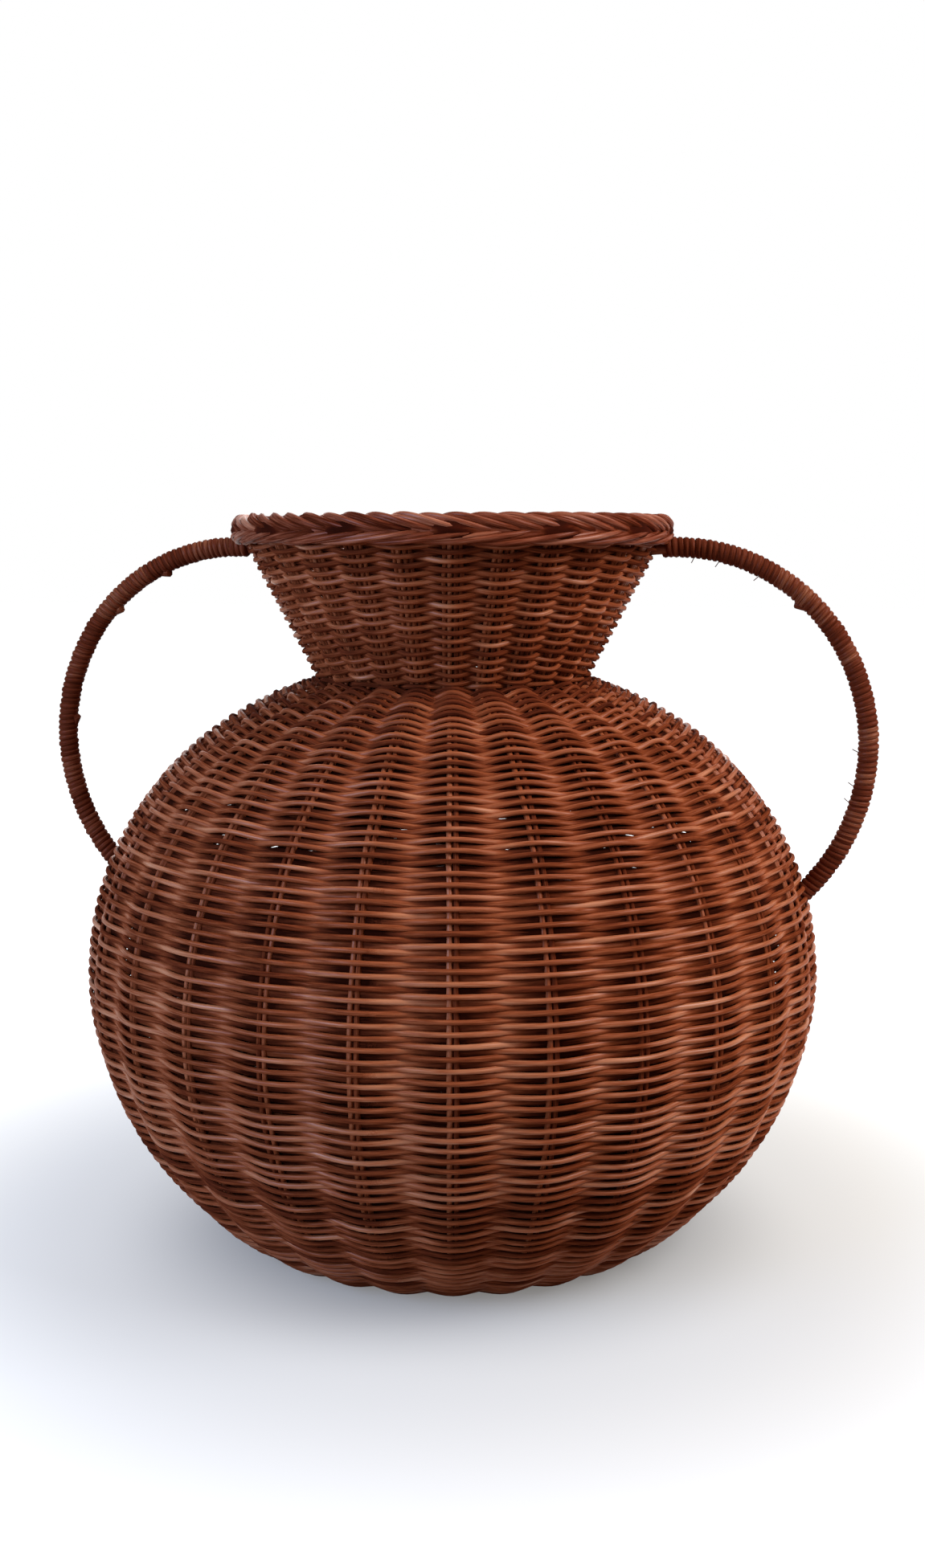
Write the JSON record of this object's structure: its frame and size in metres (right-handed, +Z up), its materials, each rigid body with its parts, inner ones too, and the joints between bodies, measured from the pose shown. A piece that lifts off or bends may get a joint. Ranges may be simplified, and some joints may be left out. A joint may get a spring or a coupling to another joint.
{
  "type": "rattan vase",
  "caption": "Round-bellied woven rattan vase with a narrow neck, a flared collar with a plaited rim, and bound hoop handles at both sides.",
  "frame": {"origin": "middle of the base, on the surface that the vase stands on", "axes": "+Z up along the axis of the vase, +X towards the handle at the right in the picture"},
  "size_m": [0.4828, 0.4219, 0.4149],
  "materials": {
    "woven_rattan": "red-brown stained rattan core, satin",
    "stake_rattan": "red-brown stained rattan core, satin",
    "rim_rattan": "red-brown stained rattan core, satin",
    "handle_rattan": "dark brown stained rattan core, satin"
  },
  "bodies": {
    "root": {"base_weave": "woven_rattan", "lower_weave": "woven_rattan", "belly_weave": "woven_rattan", "shoulder_weave": "woven_rattan", "collar_weave": "woven_rattan", "base_stick_lower_1": "stake_rattan", "base_stick_lower_2": "stake_rattan", "base_stick_lower_3": "stake_rattan", "base_stick_lower_4": "stake_rattan", "base_stick_upper_1": "stake_rattan", "base_stick_upper_2": "stake_rattan", "base_stick_upper_3": "stake_rattan", "base_stick_upper_4": "stake_rattan", "stake_01": "stake_rattan", "stake_02": "stake_rattan", "stake_03": "stake_rattan", "stake_04": "stake_rattan", "stake_05": "stake_rattan", "stake_06": "stake_rattan", "stake_07": "stake_rattan", "stake_08": "stake_rattan", "stake_09": "stake_rattan", "stake_10": "stake_rattan", "stake_11": "stake_rattan", "stake_12": "stake_rattan", "stake_13": "stake_rattan", "stake_14": "stake_rattan", "stake_15": "stake_rattan", "stake_16": "stake_rattan", "stake_17": "stake_rattan", "stake_18": "stake_rattan", "stake_19": "stake_rattan", "stake_20": "stake_rattan", "stake_21": "stake_rattan", "stake_22": "stake_rattan", "stake_23": "stake_rattan", "stake_24": "stake_rattan", "stake_25": "stake_rattan", "stake_26": "stake_rattan", "stake_27": "stake_rattan", "rim_strand_1": "rim_rattan", "rim_strand_2": "rim_rattan", "rim_strand_3": "rim_rattan", "right_handle_core": "handle_rattan", "right_handle_binding": "handle_rattan", "left_handle_core": "handle_rattan", "left_handle_binding": "handle_rattan"}
  },
  "joints": []
}
